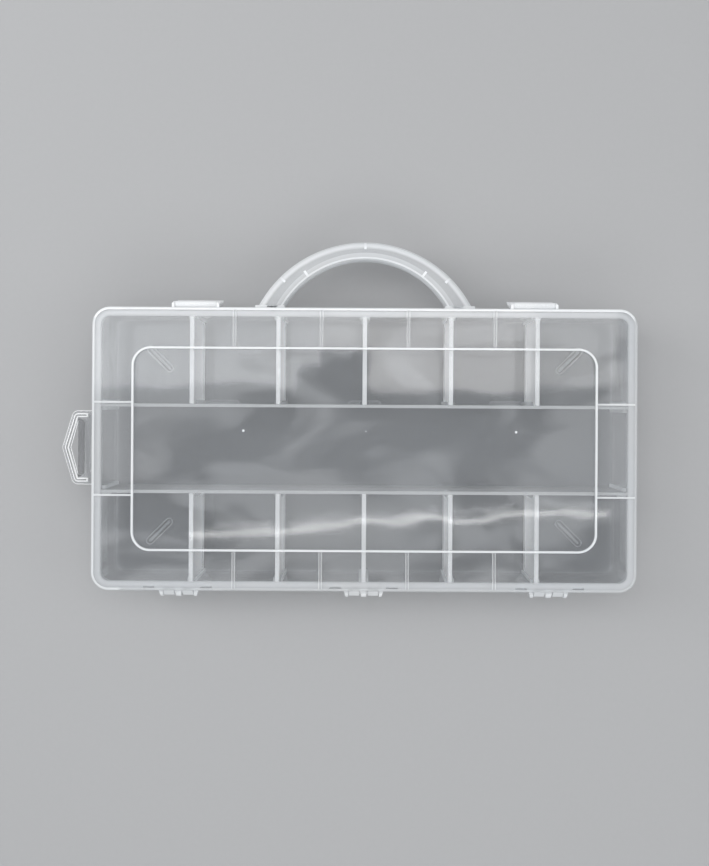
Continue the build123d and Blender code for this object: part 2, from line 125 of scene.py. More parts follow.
class Graph:  # a node tree that grows one node at a time
    def __init__(self, tree):
        self.tree = tree
        tree.nodes.clear()

    def node(self, kind, settings=None, sockets=None, out=0):
        made = self.tree.nodes.new(kind)
        for setting, value in (settings or {}).items():
            if setting == "curve":
                drawCurve(made.mapping, value)
            else:
                setattr(made, setting, value)
        for socket, value in (sockets or {}).items():
            for each in value if isinstance(value, list) else [value]:
                if isinstance(each, Flow):
                    self.tree.links.new(each.socket, made.inputs[socket])
                else:
                    made.inputs[socket].default_value = each
        return Flow(self, made.outputs[out]) if made.outputs else None

    def axes(self, place):
        return [self.node("ShaderNodeSeparateXYZ", None, {0: place}, out) for out in range(3)]

    def copied(self, thing):
        space = {"transform_space": "ORIGINAL"}
        return self.node("GeometryNodeObjectInfo", space, {"Object": thing}, "Geometry")

    def step(self, value, start, end):  # 0 below start, 1 above end
        settings = {"interpolation_type": "SMOOTHSTEP"}
        return self.node("ShaderNodeMapRange", settings, {0: value, 1: start, 2: end, 3: 0.0, 4: 1.0})


def drawCurve(mapping, points):
    curve = mapping.curves[0]
    while len(curve.points) < len(points):
        curve.points.new(1.0, 0.0)
    for point, place in zip(curve.points, points):
        point.location = place
        point.handle_type = "VECTOR"
    mapping.update()


class Finish(Graph):  # a material
    def __init__(self, name):
        self.material = bpy.data.materials.new(name)
        self.material.use_nodes = True
        super().__init__(self.material.node_tree)

    def place(self):
        return self.node("ShaderNodeTexCoord", out="Object")

    def noise(self, place, scale, detail=2.0, twist=0.0):
        sockets = {"Vector": place, "Scale": scale, "Detail": detail, "Roughness": 0.5, "Distortion": twist}
        return self.node("ShaderNodeTexNoise", None, sockets)

    def blend(self, factor, first, second):
        return self.node("ShaderNodeMix", {"data_type": "RGBA"}, {0: factor, 6: first, 7: second}, 2)

    def stretch(self, place, scale):
        return self.node("ShaderNodeVectorMath", {"operation": "MULTIPLY"}, {0: place, 1: scale})

    def lifted(self, lift):  # the surface's normal, turned upwards, as light spreads inside thin plastic
        normal = self.node("ShaderNodeNewGeometry", out="Normal")
        raised = self.node("ShaderNodeVectorMath", {"operation": "ADD"}, {0: normal, 1: (0.0, 0.0, lift)})
        return self.node("ShaderNodeVectorMath", {"operation": "NORMALIZE"}, {0: raised})

    def clear(self, tint):
        return self.node("ShaderNodeBsdfTransparent", None, {"Color": tint})

    def mixed(self, factor, first, second):  # of two shaders
        return self.node("ShaderNodeMixShader", None, {0: factor, 1: first, 2: second})

    def done(self, shader):
        self.node("ShaderNodeOutputMaterial", None, {0: shader})
        return self.material


tenth = 0.0001  # a tenth of a millimetre, for the soft edges of painted lines
optics = {  # the same for every plastic here
    "ior": 1.49,
    "evenHaze": 0.6,
    "cloudHaze": 0.5,
    "grainHaze": 0.3,
    "grainRoughness": 0.1,
    "deepPower": 2.0,
    "mirrorPower": 5.0,
    "wallNormal": 0.3,  # a face is a wall where its normal points up less than this,
    "floorNormal": 0.7,  # and a floor where it points up more than this
    "cloudDetail": 3.0,
    "grainDetail": 2.0,
    "swellDetail": 0.0,
    "waveDetail": 1.0,
    "patchDetail": 2.5,
}


def clearPlastic(name, look, band=None):
    finish = Finish(name)
    place = finish.place()
    cloud = finish.noise(place, look["cloudScale"], optics["cloudDetail"])
    grain = finish.noise(place, look["grainScale"], optics["grainDetail"])
    swell = finish.noise(place, look["swellScale"], optics["swellDetail"])
    wave = finish.noise(place, look["waveScale"], optics["waveDetail"])
    # painted reflection: soft, wavy-edged lighter patches stand in for the surroundings mirrored in the
    # surface
    longPlace = finish.stretch(place, look["patchStretch"])
    drift = finish.noise(longPlace, look["patchScale"], optics["patchDetail"], look["patchTwist"])
    reflectionPatch = finish.step(drift, look["patchStart"], look["patchEnd"])
    height = swell * look["swellHeight"] + wave * look["waveHeight"] + grain * look["grainHeight"]
    bump = finish.node("ShaderNodeBump", None, {
        "Strength": 1.0, "Distance": 1.0, "Height": height, "Normal": finish.lifted(look["lift"]),
    })
    facing = finish.node("ShaderNodeLayerWeight", None, {"Blend": 0.5}, 1)
    mottle = optics["evenHaze"] + optics["cloudHaze"] * cloud + optics["grainHaze"] * grain
    # the plastic's own haze, plus the painted reflection patches
    haze = look["haze"] * mottle + look["paintedReflection"] * reflectionPatch
    flat = abs(finish.axes(finish.node("ShaderNodeNewGeometry", out="Normal"))[2])
    upright = 1.0 - finish.step(flat, optics["wallNormal"], optics["floorNormal"])
    haze = haze + look["wallHaze"] * upright * (1.0 - facing)
    cover = haze + look["rim"] * facing ** look["rimPower"]
    if band:
        cover = cover.most(band(finish, place))
    cover = cover.least(look["mostCover"])
    colour = finish.blend(cloud, look["coolColour"], look["warmColour"])
    rough = look["roughness"] + optics["grainRoughness"] * (grain - 0.5)
    body = finish.node("ShaderNodeBsdfPrincipled", None, {
        "Base Color": colour, "Roughness": rough, "IOR": optics["ior"], "Normal": bump,
    })
    if look["glow"]:  # light from above that falls on the far side of a thin milky wall
        below = finish.stretch(finish.lifted(look["lift"]), (-1.0, -1.0, -1.0))
        light = {"Color": look["glowColour"], "Normal": below}
        through = finish.node("ShaderNodeBsdfTranslucent", None, light)
        lit = finish.node("ShaderNodeAddShader", None, {0: body, 1: through})
        body = finish.mixed(upright, body, lit)
    clear = finish.mixed(upright, finish.clear(look["tint"]), finish.clear(look["wallTint"]))
    clear = finish.mixed(facing ** optics["deepPower"], clear, finish.clear(look["deepTint"]))
    wall = finish.mixed(cover, clear, body)
    shine = finish.node("ShaderNodeBsdfGlossy", None, {"Roughness": look["glossRoughness"], "Normal": bump})
    mirror = look["shine"] + look["edgeShine"] * facing ** optics["mirrorPower"]
    return finish.done(finish.mixed(mirror, wall, shine))


def insideEdge(finish, place, halfX, halfY, corner):  # distance in from a rounded outline, negative outside
    x, y, z = finish.axes(place)
    overX = (abs(x - middleX) - (halfX - corner)).most(0.0)
    overY = (abs(y - middleY) - (halfY - corner)).most(0.0)
    return corner - (overX * overX + overY * overY) ** 0.5


baseLook = {
    "haze": 0.07,
    "rim": 0.75,
    "rimPower": 2.2,
    "mostCover": 0.97,
    "lift": 0.5,
    "roughness": 0.32,
    "glossRoughness": 0.05,
    "shine": 0.04,
    "edgeShine": 0.4,
    "tint": (0.87, 0.877, 0.885, 1.0),
    "deepTint": (0.70, 0.706, 0.714, 1.0),  # where the view grazes a wall and goes a long way inside it
    "wallTint": (0.95, 0.955, 0.96, 1.0),  # upright walls, seen square on
    "wallHaze": 0.1,
    "coolColour": (0.84, 0.87, 0.90, 1.0),
    "warmColour": (0.90, 0.90, 0.90, 1.0),
    "cloudScale": 14.0,
    "grainScale": 1400.0,
    "swellScale": 8.0,
    "swellHeight": 0.0008,
    "waveScale": 26.0,
    "waveHeight": 0.0002,
    "grainHeight": 0.0000001,
    # the patch values shape the painted reflection patches, which only the lid shows
    "patchStretch": (1.0, 1.8, 1.0),
    "patchScale": 11.0,
    "patchTwist": 0.9,
    "patchStart": 0.44,
    "patchEnd": 0.58,
    "paintedReflection": 0.0,
    "glow": False,
    "glowColour": (0.85, 0.855, 0.86, 1.0),
}

lidLook = dict(baseLook, haze=0.045, paintedReflection=0.07, lift=0.3, shine=0.052, tint=(0.95, 0.955, 0.96, 1.0),
               deepTint=(0.90, 0.905, 0.91, 1.0))
lidValues = {
    "plateTop": lidHigh[2] - 0.002,
    "halfLength": (lidHigh[0] - lidLow[0]) / 2,
    "halfWidth": 0.0925,
    "corner": 0.0115,
    "skirt": 0.0018,
    "skirtCover": 0.45,
    "frontEdgeHighlight": 0.5,  # painted highlight: more cover along the front and left edges, which face the lamps
    "leftEdgeHighlight": 0.3,
    "frontReach": (-0.088, -0.084),  # from the middle, where each of them starts and is full
    "leftReach": (0.157, 0.161),
    "border": 0.0062,
    "borderCover": 0.3,
    "ridgeCover": 0.85,
    "ribHeight": 0.001,
    "ribEdge": 0.0006,
    "ribEdgeCover": 0.6,
    "ribCover": 0.25,
    "sideRibStart": 0.1515,
    "sideRibCover": 0.7,
    "dots": ((0.079, 0.00095), (-0.099, 0.00095), (-0.001, 0.00045)),  # along the lid, and radius
    "dotY": -0.012,
    "dotCover": 0.9,
}


hingeValues = {"start": 0.0923, "cover": 0.75}  # the hinge stands behind the lid's rear edge


def hingeCover(finish, y):
    start = hingeValues["start"]
    return finish.step(y - middleY, start, start + 4 * tenth) * hingeValues["cover"]


def lidBand(finish, place):
    values = lidValues
    x, y, z = finish.axes(place)
    above = z - values["plateTop"]
    ridge = finish.step(above, values["ribHeight"] + 2 * tenth, values["ribHeight"] + 6 * tenth)
    rib = finish.step(above, values["ribHeight"] - 5 * tenth, values["ribHeight"] - 2 * tenth)
    turns = ((x - middleX) / pitch + 10.0).fraction()  # counted from left of the lid, so never negative
    ribEdge = finish.step(abs(turns - 0.5) * pitch, values["ribEdge"], values["ribEdge"] + 3 * tenth)
    sideRib = finish.step(abs(x - middleX), values["sideRibStart"], values["sideRibStart"] + 5 * tenth)
    ribCover = (ribEdge * values["ribEdgeCover"]).most(sideRib * values["sideRibCover"])
    ribCover = ribCover.most(values["ribCover"])
    inside = insideEdge(finish, place, values["halfLength"], values["halfWidth"], values["corner"])
    skirt = 1.0 - finish.step(inside, values["skirt"] - 3 * tenth, values["skirt"] + 2 * tenth)
    # painted highlight: the skirt turns whiter towards the front and left edges, which face the lamps
    front = 1.0 - finish.step(y - middleY, *values["frontReach"])
    left = finish.step(x - middleX, *values["leftReach"])
    skirtCover = values["skirtCover"] + front * values["frontEdgeHighlight"] + left * values["leftEdgeHighlight"]
    border = 1.0 - finish.step(inside, values["border"] - 6 * tenth, values["border"] + 6 * tenth)
    cover = (ridge * values["ridgeCover"]).most(rib * ribCover).most(skirt * skirtCover)
    cover = cover.most(border * values["borderCover"]).most(hingeCover(finish, y))
    top = finish.step(above, -8 * tenth, -6 * tenth)
    for dotX, radius in values["dots"]:
        overX = x - (middleX + dotX)
        overY = y - (middleY + values["dotY"])
        dot = 1.0 - finish.step((overX * overX + overY * overY) ** 0.5, radius - 2 * tenth, radius)
        cover = cover.most(dot * top * values["dotCover"])
    return cover


trayLook = dict(baseLook, haze=0.02, rim=0.22, rimPower=2.6, tint=(0.81, 0.818, 0.828, 1.0),
                deepTint=(0.45, 0.456, 0.464, 1.0))
trayValues = {
    "rimDepth": 0.0012,
    "rimCover": 0.7,
    "flangeBottom": 0.0386,
    "flangeCover": 0.4,
    "footTop": 0.0011,
    "cornerFoot": (0.1435, 0.0605),
    "cornerFootSize": (0.0094, 0.0021),  # from its middle to the centre of a round end, and the radius
    "rowFoot": (0.099, 0.0299),
    "rowFootSize": (0.0094, 0.0016),
    "rowFootShare": 0.6,
    "footLine": 0.0009,
    "footCover": 0.95,
    "wallInside": 0.0046,  # from the lid's outline to the inside of the tray's wall at its rim
    "draft": 0.0087,
    "guideReach": 0.0026,
    "guideEnd": 0.0032,
    "guideHeights": (0.0045, 0.0402),
    "guideCover": 0.8,
}


def footLine(finish, along, across, reach, radius):  # bright line just inside a foot's rounded outline
    over = (abs(along) - reach).most(0.0)
    away = (over * over + across * across) ** 0.5
    inner = radius - trayValues["footLine"]
    line = finish.step(away, inner - 2 * tenth, inner)
    return line * (1.0 - finish.step(away, radius + 6 * tenth, radius + 8 * tenth))


def trayBand(finish, place):
    values = trayValues
    x, y, z = finish.axes(place)
    rim = finish.step(z, trayHigh[2] - values["rimDepth"], trayHigh[2] - values["rimDepth"] / 2)
    flange = finish.step(z, values["flangeBottom"] - 3 * tenth, values["flangeBottom"] + tenth)
    foldX = abs(x - middleX)
    foldY = abs(y - middleY)
    footX = foldX - values["cornerFoot"][0]
    footY = foldY - values["cornerFoot"][1]
    slant = 0.5 ** 0.5  # the corner feet stand at 45 degrees
    corner = footLine(finish, (footX + footY) * slant, (footX - footY) * slant, *values["cornerFootSize"])
    rowX = foldX.least(abs(foldX - values["rowFoot"][0]))
    row = footLine(finish, rowX, foldY - values["rowFoot"][1], *values["rowFootSize"])
    lowest = 1.0 - finish.step(z, values["footTop"], values["footTop"] + 2 * tenth)
    foot = lowest * corner.most(row * values["rowFootShare"])
    inside = insideEdge(finish, place, lidValues["halfLength"], lidValues["halfWidth"], lidValues["corner"])
    proud = inside - values["wallInside"] - (trayHigh[2] - z) * values["draft"]
    guide = finish.step(proud, tenth, 3 * tenth)
    guide = guide * (1.0 - finish.step(proud, values["guideReach"], values["guideEnd"]))
    low, high = values["guideHeights"]
    guide = guide * finish.step(z, low - 10 * tenth, low + 10 * tenth)
    guide = guide * (1.0 - finish.step(z, high, high + 2 * tenth))
    cover = (rim * values["rimCover"]).most(flange * values["flangeCover"])
    cover = cover.most(guide * values["guideCover"]).most(foot * values["footCover"])
    return cover.most(hingeCover(finish, y))


insertLook = dict(baseLook, haze=0.4, rim=0.75, rimPower=0.7, mostCover=0.95, lift=2.6, glow=True,
                  roughness=0.5, shine=0.0, edgeShine=0.06, coolColour=(0.96, 0.965, 0.97, 1.0),
                  warmColour=(0.97, 0.97, 0.97, 1.0))
partitionLook = dict(insertLook, haze=0.05, rim=0.25, rimPower=1.6, mostCover=0.6)
insertValues = {"edge": 0.0012, "edgeCover": 0.95}


def insertBand(finish, place):
    x, y, z = finish.axes(place)
    top = finish.step(z, dividerHigh[2] - insertValues["edge"], dividerHigh[2] - insertValues["edge"] / 2)
    return top * insertValues["edgeCover"]


handleValues = {
    "outerRadius": 0.0809,
    "outerCentre": -0.0572,  # from the middle of the lid, towards the hinges
    "innerRadius": 0.0624,
    "innerCentre": -0.0629,
    "root": -0.0924,
    "height": handleHigh[2] - handleLow[2],
    "lipWidth": 0.075,  # shares of the width, from the outer edge
    "wallWidth": 0.175,
    "crownWidth": 0.40,
    "innerCrown": 0.76,
    "lipHeight": 0.0026,
    "crownDrop": 0.0042,
    "innerDrop": 0.0026,
    "wall": 0.0022,
    "lipRound": (0.02, 0.0003, 0.001),  # share of the width, then two heights
    "lipSlope": 0.0002,
    "hollowRise": 0.0018,
    "hollowSteps": (0.02, 0.04, 0.03),  # shares of the width at the channel's corners
    "weld": 0.000002,
    "stepsAlong": 128,
    "ribWidth": 0.0015,
    "ribReach": 0.0046,
    "ribSink": 0.8,  # share of the wall that a rib stands in
    "ribDrop": 0.0004,
    "ribRound": 0.0006,
    "outerRibs": (-45.0, 0.0, 45.0),  # degrees from the crown
    "innerRibs": (-36.4, 36.4),
    "footPlate": 0.0026,
    "footRound": 0.0004,
    "plugSize": (0.014, 0.0041, 0.007),
    "plugDepth": 0.0029,
    "plugRound": 0.0006,
}
handleLook = dict(baseLook, haze=0.34, rim=0.6, rimPower=1.4, lift=0.6, roughness=0.4, shine=0.01,
                  tint=(0.78, 0.787, 0.795, 1.0), deepTint=(0.6, 0.606, 0.614, 1.0))
handleBands = {  # distances in from the outer arc, then from the inner arc
    # the crown values paint a highlight: a whiter band on the outer slope of the crown, fading inwards
    "crownHighlightStart": 0.0012,
    "crownHighlightFull": 0.0019,
    "crownHighlightFade": 0.0033,
    "crownHighlightEnd": 0.0075,
    "crownHighlightCover": 0.8,
    "innerStart": 0.0006,
    "innerFull": 0.0011,
    "innerFade": 0.0017,
    "innerEnd": 0.0030,
    "innerCover": 0.85,
    "shoulder": 0.0050,
    "shoulderCover": 0.5,
    "lip": 0.0010,
    "lipCover": 0.85,
    "tickStart": 0.0009,
    "tickEnd": 0.0056,
    "tickHalfWidth": 0.0009,
    "tickCover": 0.9,
}


def fromArc(finish, place, centre):
    x, y, z = finish.axes(place)
    return x - middleX, y - (middleY + centre)


def ticks(finish, offset, distance, turns):  # short lines square to an arc
    values = handleBands
    shown = 0.0
    for turn in turns:
        along = offset[0] * cos(radians(turn)) + offset[1] * sin(radians(turn))
        half = values["tickHalfWidth"]
        line = 1.0 - finish.step(abs(along), half - 2 * tenth, half + tenth)
        ahead = offset[0] * sin(radians(turn)) - offset[1] * cos(radians(turn))
        facing = finish.step(ahead, 0.0, 10 * tenth)
        shown = line * facing if turn == turns[0] else shown.most(line * facing)
    start, end = values["tickStart"], values["tickEnd"]
    reach = finish.step(distance, start - 2 * tenth, start + 2 * tenth)
    return shown * reach * (1.0 - finish.step(distance, end, end + 4 * tenth))


def handleBand(finish, place):
    values = handleBands
    outside = fromArc(finish, place, handleValues["outerCentre"])
    inside = fromArc(finish, place, handleValues["innerCentre"])
    outer = handleValues["outerRadius"] - (outside[0] * outside[0] + outside[1] * outside[1]) ** 0.5
    inner = (inside[0] * inside[0] + inside[1] * inside[1]) ** 0.5 - handleValues["innerRadius"]
    # painted highlight: a whiter band along the crown, fading towards the middle of the handle
    crown = finish.step(outer, values["crownHighlightStart"], values["crownHighlightFull"])
    crown = crown * (1.0 - finish.step(outer, values["crownHighlightFade"], values["crownHighlightEnd"]))
    edge = finish.step(inner, values["innerStart"], values["innerFull"])
    edge = edge * (1.0 - finish.step(inner, values["innerFade"], values["innerEnd"]))
    shoulder = 1.0 - finish.step(inner, values["shoulder"] - 4 * tenth, values["shoulder"])
    lip = 1.0 - finish.step(outer, values["lip"] - 2 * tenth, values["lip"] + 2 * tenth)
    tick = ticks(finish, outside, outer, handleValues["outerRibs"]).most(
        ticks(finish, inside, inner, handleValues["innerRibs"]))
    cover = (crown * values["crownHighlightCover"]).most(edge * values["innerCover"]).most(lip * values["lipCover"])
    return cover.most(shoulder * values["shoulderCover"]).most(tick * values["tickCover"])


tabLook = dict(baseLook, haze=0.04, rim=0.9, rimPower=0.8, tint=(0.80, 0.807, 0.815, 1.0))
tabEdgeLook = dict(baseLook, haze=0.95, rim=0.5, rimPower=1.0, lift=1.5, roughness=0.45, shine=0.01,
                   coolColour=(0.95, 0.96, 0.97, 1.0), warmColour=(0.97, 0.97, 0.97, 1.0))
latchLook = dict(baseLook, haze=0.85, rim=0.6, rimPower=1.0, roughness=0.45, shine=0.01)
ribLook = dict(baseLook, haze=0.8, rim=0.5, rimPower=1.0, roughness=0.45, shine=0.01)

plastics = {
    "tray": clearPlastic("trayPlastic", trayLook, trayBand),
    "lid": clearPlastic("lidPlastic", lidLook, lidBand),
    "handle": clearPlastic("handlePlastic", handleLook, handleBand),
    "rib": clearPlastic("handleRibPlastic", ribLook),
    "tab": clearPlastic("tabPlastic", tabLook),
    "tabEdge": clearPlastic("tabEdgePlastic", tabEdgeLook),
    "latch": clearPlastic("latchPlastic", latchLook),
    "insert": clearPlastic("insertPlastic", insertLook, insertBand),
    "partition": clearPlastic("partitionPlastic", partitionLook, insertBand),
}
for name, node in nodes.items():
    node.data.materials.clear()
for name in ("tray", "lid"):
    nodes[name].data.materials.append(plastics[name])
print("stage: plastics made")


def linked(name, mesh):
    piece = bpy.data.objects.new(name, mesh)
    bpy.context.scene.collection.objects.link(piece)
    return piece


def settled(piece):  # the piece's mesh as its modifiers leave it, and no modifier
    view = bpy.context.evaluated_depsgraph_get()
    mesh = bpy.data.meshes.new_from_object(piece.evaluated_get(view), depsgraph=view)
    piece.modifiers.clear()
    piece.data = mesh
    return piece


softEdge = {
    "width": 0.0003,
    "segments": 2,
    "angle": 35.0,  # degrees between faces, above which an edge is rounded
    "smoothAngle": 40.0,
    "flatAngle": 1.0,
    "weld": 0.000001,
    "tabWidth": 0.0007,
}


def smoothed(piece):  # smooth faces, with sharp edges where the angle is large
    piece.data.shade_smooth()
    piece.data.set_sharp_from_angle(angle=radians(softEdge["smoothAngle"]))
    return piece


def softened(piece, width=softEdge["width"], pair=()):  # rounds sharp edges; a pair of plastics goes on
    work = bmesh.new()
    work.from_mesh(piece.data)
    bmesh.ops.remove_doubles(work, verts=work.verts, dist=softEdge["weld"])
    flat = radians(softEdge["flatAngle"])
    bmesh.ops.dissolve_limit(work, angle_limit=flat, verts=work.verts, edges=work.edges)
    work.to_mesh(piece.data)
    work.free()
    bevel = piece.modifiers.new("softEdge", "BEVEL")
    bevel.width = width
    bevel.segments = softEdge["segments"]
    bevel.limit_method = "ANGLE"
    bevel.angle_limit = radians(softEdge["angle"])
    for slot, plastic in enumerate(pair):  # faces, then rounded edges
        piece.data.materials.append(plastics[plastic])
        bevel.material = slot
    return smoothed(settled(piece))


def dress(piece, plastic, slot, body, *replaced):
    if plastic:
        piece.data.materials.clear()
        piece.data.materials.append(plastics[plastic])
    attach(piece, body)
    if replaced:
        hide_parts(*replaced)


def nodeTree(name, inputs):  # a Geometry Nodes tree with named inputs, and the flows out of its Group Input
    tree = bpy.data.node_groups.new(name, "GeometryNodeTree")
    for label, kind in inputs.items():
        tree.interface.new_socket(name=label, in_out="INPUT", socket_type=kind)
    tree.interface.new_socket(name="Geometry", in_out="OUTPUT", socket_type="NodeSocketGeometry")
    graph = Graph(tree)
    source = graph.node("NodeGroupInput")
    made = source.socket.node
    return graph, {label: Flow(graph, made.outputs[label]) for label in inputs}


def finishTree(graph, geometry, material):
    real = graph.node("GeometryNodeRealizeInstances", None, {0: geometry})
    painted = graph.node("GeometryNodeSetMaterial", None, {"Geometry": real, "Material": material})
    graph.node("NodeGroupOutput", None, {0: painted})
    return graph.tree


def grown(name, tree, values):  # the plain mesh that a tree makes
    piece = linked(name, bpy.data.meshes.new(name))
    modifier = piece.modifiers.new("grow", "NODES")
    modifier.node_group = tree
    for socket in tree.interface.items_tree:
        if socket.in_out == "INPUT":
            modifier[socket.identifier] = values[socket.name]
    return settled(piece)


number, whole, thing = "NodeSocketFloat", "NodeSocketInt", "NodeSocketObject"


def dividerTree():  # copies one divider along both rows
    graph, given = nodeTree("dividerRows", {
        "Divider": thing, "Pitch": number, "Count": whole, "Row Step": number,
    })
    divider = graph.copied(given["Divider"])
    start = graph.node("ShaderNodeCombineXYZ", None, {0: (given["Count"] - 1.0) * given["Pitch"] * -0.5})
    stride = graph.node("ShaderNodeCombineXYZ", None, {0: given["Pitch"]})
    row = graph.node("GeometryNodeMeshLine", {"mode": "OFFSET"}, {
        "Count": given["Count"], "Start Location": start, "Offset": stride,
    })
    rowStep = graph.node("ShaderNodeCombineXYZ", None, {1: given["Row Step"]})
    otherRow = graph.node("GeometryNodeTransform", None, {"Geometry": row, "Translation": rowStep})
    places = graph.node("GeometryNodeJoinGeometry", None, {0: [row, otherRow]})
    copies = graph.node("GeometryNodeInstanceOnPoints", None, {"Points": places, "Instance": divider})
    return finishTree(graph, copies, plastics["insert"])


dividerNodes = [name for name in nodes if name.startswith("divider")]
divider = softened(linked("dividerPattern", nodes["divider_front_3"].data.copy()))
dividers = grown("dividers", dividerTree(), {
    "Divider": divider, "Pitch": pitch, "Count": len(dividerNodes) // 2,
    "Row Step": rearLow[1] - dividerLow[1],
})
bpy.data.objects.remove(divider)
dress(smoothed(dividers), "insert", "insert_plastic", base, *dividerNodes)

softNodes = {
    "partition_front": ("partitionFront", "partition", "insert_plastic"),
    "partition_rear": ("partitionRear", "partition", "insert_plastic"),
    "latch_left": ("latchLeft", "latch", "latch_plastic"),
    "latch_right": ("latchRight", "latch", "latch_plastic"),
}
for name, (pieceName, plastic, slot) in softNodes.items():
    dress(softened(linked(pieceName, nodes[name].data.copy())), plastic, slot, nodes[name]["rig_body"], name)
tabMesh = nodes["hang_tab"].data.copy()
hangTab = softened(linked("hangTab", tabMesh), softEdge["tabWidth"], ("tab", "tabEdge"))
dress(hangTab, None, "tab_plastic", nodes["hang_tab"]["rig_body"], "hang_tab")
print("stage: inserts, latches and tab")

bend = 6  # steps in each rounded corner of the section


def corner(start, end, lead):  # quarter of an ellipse, that leaves start along the given axis
    points = []
    for step in range(bend + 1):
        angle = pi / 2 * step / bend
        near, far = (sin(angle), 1 - cos(angle)) if lead == "across" else (1 - cos(angle), sin(angle))
        points.append((start[0] + (end[0] - start[0]) * near, start[1] + (end[1] - start[1]) * far))
    return points


def handleSection():  # shares of the width from the outer edge, and depths below the top, round the channel
    values = handleValues
    lip, wall, crown, inner = (values[key] for key in ("lipWidth", "wallWidth", "crownWidth", "innerCrown"))
    low = values["height"]
    lipTop = low - values["lipHeight"]
    hollow = values["wall"]
    drop = values["crownDrop"]
    lipShare, lipNear, lipFar = values["lipRound"]
    innerStep, crownStep, wallStep = values["hollowSteps"]
    return [
        (0.0, low), (0.0, lipTop + lipFar), (0.0, lipTop + lipNear),
        (lipShare, lipTop), (lip, lipTop - values["lipSlope"]),
        *corner((lip, drop), (crown, 0.0), "depth"),
        *corner((inner, 0.0), (1.0, values["innerDrop"]), "across"),
        (1.0, low), (1 - wall, low),
        *corner((1 - wall, hollow + values["hollowRise"]), (inner - innerStep, hollow), "depth"),
        (crown + crownStep, hollow), (wall + wallStep, drop), (wall, drop + hollow), (wall, low),
    ]


def handleTree(section):  # sweeps the section between two arcs that drift apart towards the feet
    measures = ("Outer Radius", "Outer Centre", "Inner Radius", "Inner Centre", "Outer Turn", "Inner Turn",
                "Centre X", "Centre Y", "Top", "Height")
    graph, given = nodeTree("handleSweep", dict.fromkeys(measures, number) | {"Steps": whole})
    around = len(section)
    grid = graph.node("GeometryNodeMeshGrid", None, {
        "Size X": 1.0, "Size Y": 1.0, "Vertices X": given["Steps"], "Vertices Y": around + 1,
    })
    x, y, z = graph.axes(graph.node("GeometryNodeInputPosition"))
    along = x * 2.0
    loop = y + 0.5
    closed = section + section[:1]
    shares = [(i / around, share) for i, (share, depth) in enumerate(closed)]
    depths = [(i / around, depth / handleValues["height"]) for i, (share, depth) in enumerate(closed)]
    across = graph.node("ShaderNodeFloatCurve", {"curve": shares}, {1: loop})
    deep = graph.node("ShaderNodeFloatCurve", {"curve": depths}, {1: loop})

    def onArc(kind):
        angle = along * given[kind + " Turn"]
        side = given[kind + " Radius"] * angle.sine()
        drop = given[kind + " Radius"] * angle.cosine()
        return side, given[kind + " Centre"] - drop

    outerX, outerY = onArc("Outer")
    innerX, innerY = onArc("Inner")
    place = graph.node("ShaderNodeCombineXYZ", None, {
        0: given["Centre X"] + outerX + (innerX - outerX) * across,
        1: given["Centre Y"] + outerY + (innerY - outerY) * across,
        2: given["Top"] - deep * given["Height"],
    })
    swept = graph.node("GeometryNodeSetPosition", None, {"Geometry": grid, "Position": place})
    weld = handleValues["weld"]
    shut = graph.node("GeometryNodeMergeByDistance", None, {"Geometry": swept, "Distance": weld})
    return finishTree(graph, shut, plastics["handle"])


def halfTurn(radius, centre):  # angle from the crown to where the arc meets the root line
    return acos((centre - handleValues["root"]) / radius)


section = handleSection()
handle = grown("handleArch", handleTree(section), {
    "Outer Radius": handleValues["outerRadius"], "Outer Centre": handleValues["outerCentre"],
    "Inner Radius": handleValues["innerRadius"], "Inner Centre": handleValues["innerCentre"],
    "Outer Turn": halfTurn(handleValues["outerRadius"], handleValues["outerCentre"]),
    "Inner Turn": halfTurn(handleValues["innerRadius"], handleValues["innerCentre"]),
    "Centre X": middleX, "Centre Y": middleY, "Top": handleHigh[2], "Height": handleValues["height"],
    "Steps": handleValues["stepsAlong"],
})
work = bmesh.new()
work.from_mesh(handle.data)
bmesh.ops.holes_fill(work, edges=[edge for edge in work.edges if edge.is_boundary], sides=0)
bmesh.ops.recalc_face_normals(work, faces=work.faces)
work.to_mesh(handle.data)
work.free()
handleBody = nodes["handle"]["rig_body"]
dress(smoothed(handle), "handle", "handle_plastic", handleBody, "handle")


def boxes(name, places, width):  # rounded blocks, each between two corners, as one piece
    work = bmesh.new()
    for low, high in places:
        made = bmesh.ops.create_cube(work, size=1.0)["verts"]
        for vertex in made:
            vertex.co = [low[i] + (high[i] - low[i]) * (vertex.co[i] + 0.5) for i in range(3)]
    mesh = bpy.data.meshes.new(name)
    work.to_mesh(mesh)
    work.free()
    return softened(linked(name, mesh), width)


def ribTree():  # copies one bar along an arc, each turned to point at its centre
    graph, given = nodeTree("handleRibs", {
        "Bar": thing, "Count": whole, "Step": number, "Radius": number,
        "Centre X": number, "Centre Y": number,
    })
    bar = graph.copied(given["Bar"])
    row = graph.node("GeometryNodeMeshLine", None, {"Count": given["Count"]})
    index = graph.node("GeometryNodeInputIndex")
    angle = (index - (given["Count"] - 1.0) * 0.5) * given["Step"]
    place = graph.node("ShaderNodeCombineXYZ", None, {
        0: given["Centre X"] + given["Radius"] * angle.sine(),
        1: given["Centre Y"] - given["Radius"] * angle.cosine(),
    })
    points = graph.node("GeometryNodeSetPosition", None, {"Geometry": row, "Position": place})
    turn = graph.node("ShaderNodeCombineXYZ", None, {2: angle})
    copies = graph.node("GeometryNodeInstanceOnPoints", None, {
        "Points": points, "Instance": bar, "Rotation": turn,
    })
    return finishTree(graph, copies, plastics["rib"])


